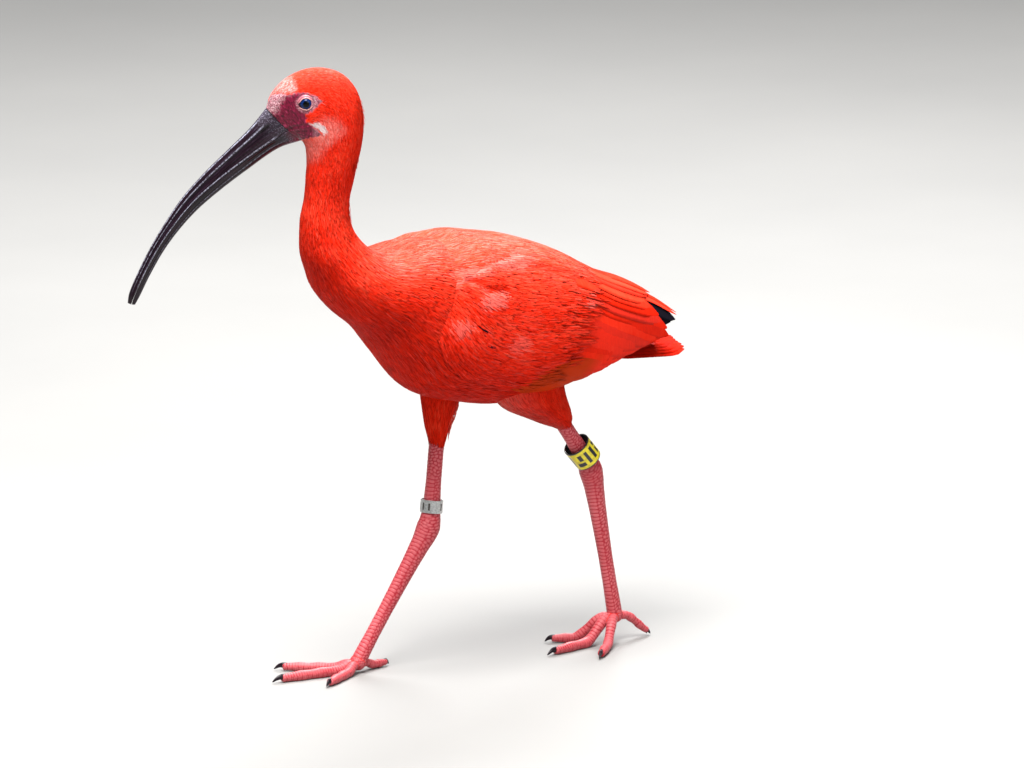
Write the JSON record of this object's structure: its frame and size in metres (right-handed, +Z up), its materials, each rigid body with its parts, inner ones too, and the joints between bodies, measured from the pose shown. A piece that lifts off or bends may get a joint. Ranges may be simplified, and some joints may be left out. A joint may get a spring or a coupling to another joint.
{
  "type": "scarlet ibis",
  "caption": "Life-size still model of a scarlet ibis walking, head turned aside, with a long down-curved bill, folded wings, leg rings and flat-soled toes that stand on the floor.",
  "frame": {"origin": "on the floor, below the middle of the whole bird's box", "axes": "the body faces -X, its left side faces -Y, +Z is up; the head and bill are turned 37 degrees to the bird's right"},
  "size_m": [0.3842, 0.1324, 0.4022],
  "materials": {
    "plumage": "soft feathers, scarlet, the outer wing tips black",
    "bill_horn": "dark horn, satin gloss",
    "eye": "wet gloss",
    "leg_skin": "scaly skin, satin",
    "ring_metal": "worn satin",
    "ring_yellow": "satin, with dark marks"
  },
  "bodies": {
    "root": {"bill_lower": "bill_horn", "bill_upper": "bill_horn", "eye_left": "eye", "eye_right": "eye", "foot_left": "leg_skin", "foot_right": "leg_skin", "head": "plumage", "neck": "plumage", "ring_metal": "ring_metal", "ring_yellow": "ring_yellow", "shank_left": "leg_skin", "shank_right": "leg_skin", "tail": "plumage", "tarsus_left": "leg_skin", "tarsus_right": "leg_skin", "thigh_left": "plumage", "thigh_right": "plumage", "toe_hind_left": "leg_skin", "toe_hind_right": "leg_skin", "toe_inner_left": "leg_skin", "toe_inner_right": "leg_skin", "toe_middle_left": "leg_skin", "toe_middle_right": "leg_skin", "toe_outer_left": "leg_skin", "toe_outer_right": "leg_skin", "torso": "plumage", "wing_left": "plumage", "wing_right": "plumage"}
  },
  "joints": []
}
